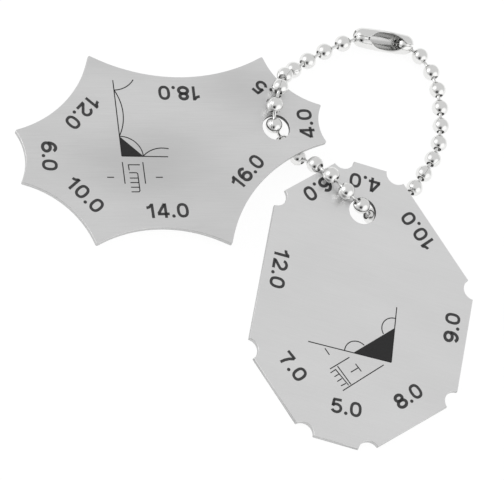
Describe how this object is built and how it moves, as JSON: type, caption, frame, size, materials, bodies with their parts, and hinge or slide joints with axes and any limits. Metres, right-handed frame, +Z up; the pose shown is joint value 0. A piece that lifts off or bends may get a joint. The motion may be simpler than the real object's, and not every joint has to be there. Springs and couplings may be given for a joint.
{
  "type": "fillet weld gauge",
  "caption": "Pair of flat steel fillet weld gauge plates, one with hollow scalloped sides and one with straight notched sides, threaded on a loop of bead chain closed by a sleeve connector.",
  "frame": {"origin": "on the bench, under the middle of the outer box", "axes": "+Z up from the bench on which the gauge lies; +Y towards the chain's connector; +X towards the throat plate"},
  "size_m": [0.0654, 0.0664, 0.0058],
  "materials": {
    "plate": "fine brushed stainless sheet with dark etched markings",
    "bead": "bright nickel plate",
    "link": "bright nickel plate",
    "connector": "bright nickel plate, polished"
  },
  "bodies": {
    "chain": {"bead_05": "bead", "bead_06": "bead", "bead_07": "bead", "bead_08": "bead", "bead_09": "bead", "bead_10": "bead", "bead_11": "bead", "bead_12": "bead", "bead_13": "bead", "bead_14": "bead", "bead_15": "bead", "bead_16": "bead", "bead_17": "bead", "bead_18": "bead", "bead_19": "bead", "bead_20": "bead", "link_05": "link", "link_06": "link", "link_07": "link", "link_08": "link", "link_09": "link", "link_10": "link", "link_11": "link", "link_12": "link", "link_13": "link", "link_14": "link", "link_15": "link", "link_16": "link", "link_17": "link", "link_18": "link", "link_19": "link"},
    "left_arm": {"bead_02": "bead", "bead_03": "bead", "bead_04": "bead", "link_02": "link", "link_03": "link", "link_04": "link"},
    "end_beads": {"bead_01": "bead", "bead_28": "bead", "link_01": "link", "link_27": "link"},
    "connector": {"connector": "connector"},
    "lower_arc": {"bead_21": "bead", "bead_22": "bead", "bead_23": "bead", "link_20": "link", "link_21": "link", "link_22": "link"},
    "upper_arc": {"bead_24": "bead", "bead_25": "bead", "bead_26": "bead", "bead_27": "bead", "link_23": "link", "link_24": "link", "link_25": "link", "link_26": "link"},
    "leg_plate": {"leg_plate": "plate"},
    "throat_plate": {"throat_plate": "plate"}
  },
  "joints": [
    {"name": "leg_plate_swing", "type": "hinge", "parent": "chain", "child": "leg_plate", "pos_m": [0.00514, 0.01501, 0.00281], "axis": [-0.0647, -0.0032, 0.9979], "range_deg": [-1, 11]},
    {"name": "throat_plate_swing", "type": "hinge", "parent": "chain", "child": "throat_plate", "pos_m": [0.01701, 0.0027, 0.00281], "axis": [-0.0163, -0.0669, 0.9976], "range_deg": [-1, 90]},
    {"name": "left_arm_bend", "type": "hinge", "parent": "chain", "child": "left_arm", "pos_m": [0.00906, 0.02536, 0.00174], "axis": [0, 0, 1], "range_deg": [-8, 8]},
    {"name": "end_beads_bend", "type": "hinge", "parent": "left_arm", "child": "end_beads", "pos_m": [0.0172, 0.03061, 0.0014], "axis": [0, 0, 1], "range_deg": [-11.2, 11.2]},
    {"name": "connector_swivel", "type": "hinge", "parent": "end_beads", "child": "connector", "pos_m": [0.02344, 0.0315, 0.00158], "axis": [0.9962, -0.0872, 0], "continuous": true},
    {"name": "lower_arc_bend", "type": "hinge", "parent": "chain", "child": "lower_arc", "pos_m": [0.02777, 0.01048, 0.0012], "axis": [0, 0, 1], "range_deg": [-8, 8]},
    {"name": "upper_arc_bend", "type": "hinge", "parent": "lower_arc", "child": "upper_arc", "pos_m": [0.03118, 0.0185, 0.0012], "axis": [0, 0, 1], "range_deg": [-10, 10]}
  ],
  "couplings": [
    {"joint": "end_beads_bend", "follows": "left_arm_bend", "ratio": -1.361},
    {"joint": "lower_arc_bend", "follows": "left_arm_bend", "ratio": 0.991},
    {"joint": "upper_arc_bend", "follows": "left_arm_bend", "ratio": -1.202}
  ]
}
